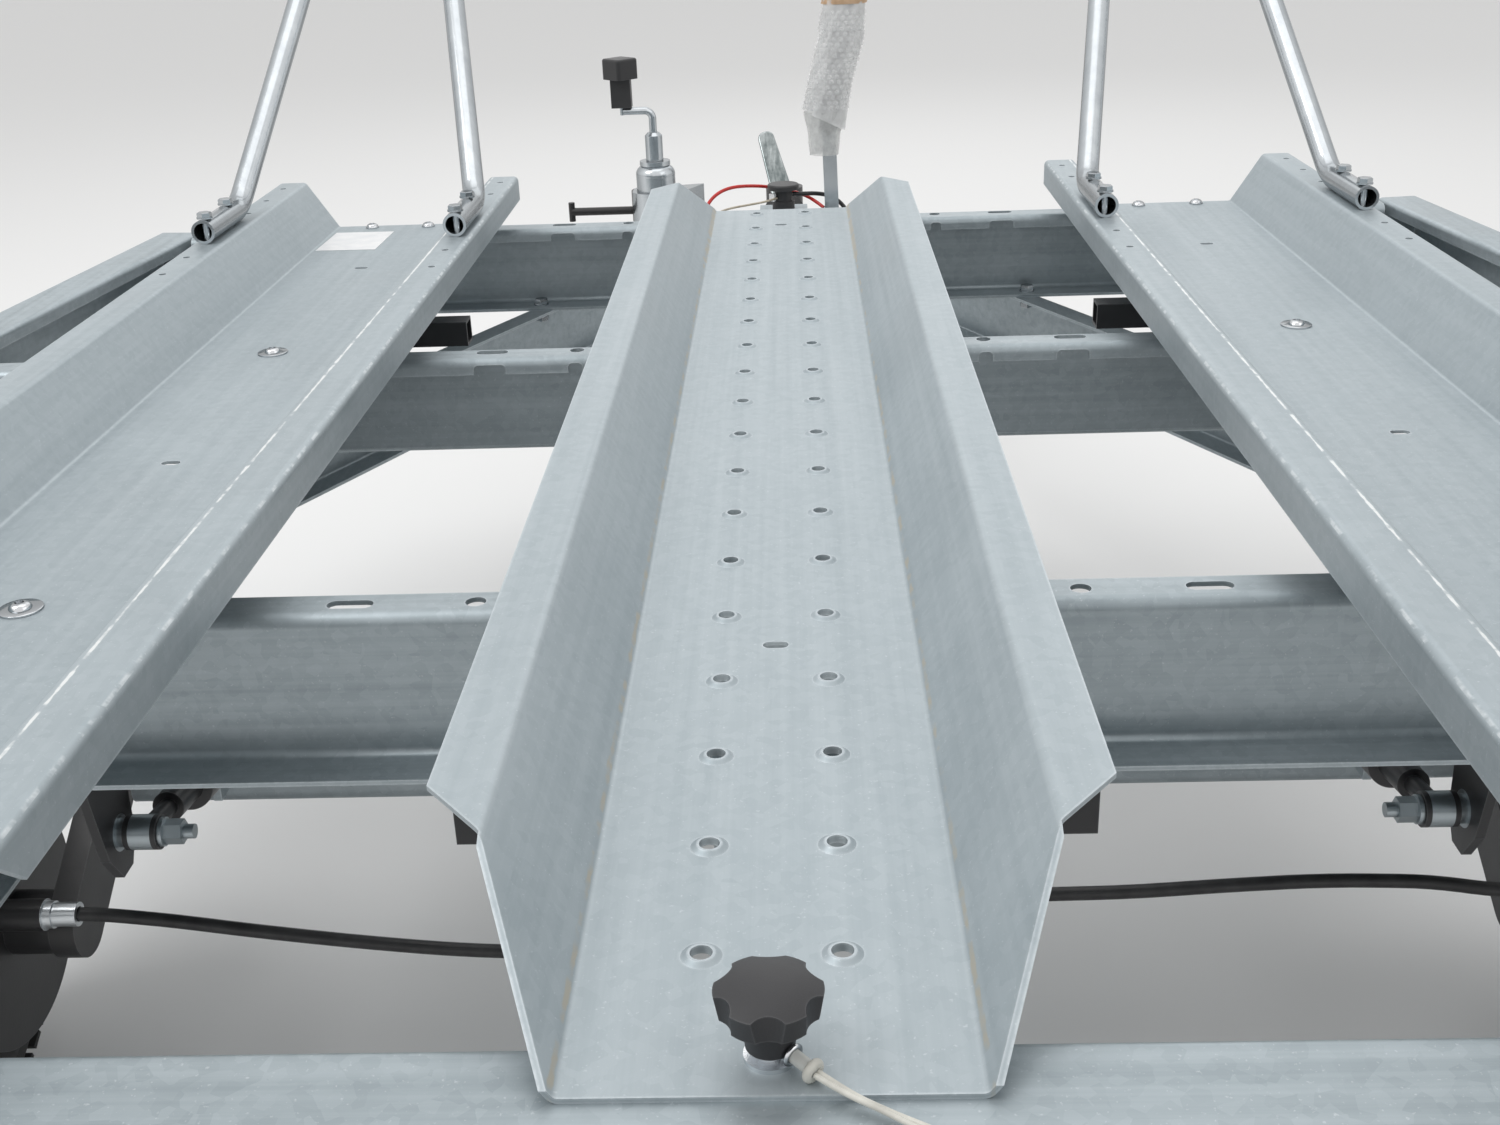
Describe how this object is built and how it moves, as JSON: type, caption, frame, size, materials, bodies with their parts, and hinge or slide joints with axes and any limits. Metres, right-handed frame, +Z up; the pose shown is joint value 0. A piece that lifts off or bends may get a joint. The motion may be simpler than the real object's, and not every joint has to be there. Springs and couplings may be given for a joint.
{
  "type": "braked motorcycle trailer",
  "caption": "Braked single-axle road trailer with wheel channels on an open frame, tyre hoops, an overrun coupling and a jockey wheel for parking.",
  "frame": {"origin": "on the ground, under the middle of the trailer's bounding box", "axes": "+X to the right, +Y forward to the coupling, +Z up"},
  "size_m": [2.112, 3.07, 1.2],
  "materials": {
    "galvanised_sheet": "galvanised sheet, dull and pale with fine rolling lines",
    "galvanised_frame": "galvanised frame steel with soft brighter bands along the bends",
    "galvanised_wheel": "galvanised rim and cast drum",
    "bright_zinc": "bright zinc plating",
    "black_steel": "black paint on steel",
    "black_plastic": "black moulded plastic",
    "tyre_rubber": "black tyre rubber",
    "soft_rubber": "black flexible rubber",
    "lamp_plastic": "plain red and amber lenses on a black base",
    "red_cord": "bright red plastic-covered cord",
    "pale_cord": "thin beige cord",
    "clear_film": "clear packing film with air bubbles"
  },
  "bodies": {
    "root": {"axle_tube": "galvanised_frame", "beige_cord": "pale_cord", "brake_cable_left": "soft_rubber", "brake_cable_right": "soft_rubber", "brake_rod": "bright_zinc", "coupling_handle": "bright_zinc", "coupling_head": "black_steel", "crossmember_front": "galvanised_frame", "crossmember_middle": "galvanised_frame", "crossmember_rear": "galvanised_frame", "damper_brackets": "black_steel", "damper_left": "black_steel", "damper_right": "black_steel", "drawbar_arm_left": "galvanised_frame", "drawbar_arm_right": "galvanised_frame", "gaiter": "soft_rubber", "handbrake_lever": "bright_zinc", "hoop_left": "bright_zinc", "hoop_right": "bright_zinc", "jockey_clamp": "bright_zinc", "jockey_crank": "bright_zinc", "jockey_grip": "black_plastic", "jockey_tube": "bright_zinc", "lamps": "lamp_plastic", "lanyard": "clear_film", "lash_bars": "black_steel", "lever_wrap": "clear_film", "mudguards": "black_plastic", "overrun_housing": "galvanised_frame", "plug": "black_plastic", "plug_cable": "soft_rubber", "rail_centre": "galvanised_sheet", "rail_left": "galvanised_sheet", "rail_right": "galvanised_sheet", "rear_beam": "galvanised_frame", "red_cord": "red_cord", "side_beam_left": "galvanised_frame", "side_beam_right": "galvanised_frame", "star_knob": "black_plastic", "swing_arm_left": "galvanised_frame", "swing_arm_right": "galvanised_frame"},
    "wheel_left": {"tyre_left": "tyre_rubber", "rim_left": "galvanised_wheel", "drum_left": "galvanised_wheel"},
    "wheel_right": {"tyre_right": "tyre_rubber", "rim_right": "galvanised_wheel", "drum_right": "galvanised_wheel"},
    "jockey_slider": {"jockey_leg": "bright_zinc"},
    "jockey_castor": {"jockey_fork": "bright_zinc"},
    "jockey_roller": {"jockey_wheel": "tyre_rubber"}
  },
  "joints": [
    {"name": "wheel_left_spin", "type": "hinge", "parent": "root", "child": "wheel_left", "pos_m": [-0.88, -0.775, 0.281], "axis": [1, 0, 0], "continuous": true},
    {"name": "wheel_right_spin", "type": "hinge", "parent": "root", "child": "wheel_right", "pos_m": [0.88, -0.775, 0.281], "axis": [1, 0, 0], "continuous": true},
    {"name": "jockey_wind", "type": "slide", "parent": "root", "child": "jockey_slider", "axis": [0, 0, 1], "range_m": [-0.1, 0.08]},
    {"name": "jockey_swivel", "type": "hinge", "parent": "jockey_slider", "child": "jockey_castor", "pos_m": [-0.221, 0.865, 0.222], "axis": [0, 0, 1], "continuous": true},
    {"name": "jockey_roll", "type": "hinge", "parent": "jockey_castor", "child": "jockey_roller", "pos_m": [-0.221, 0.82, 0.1], "axis": [1, 0, 0], "continuous": true}
  ]
}
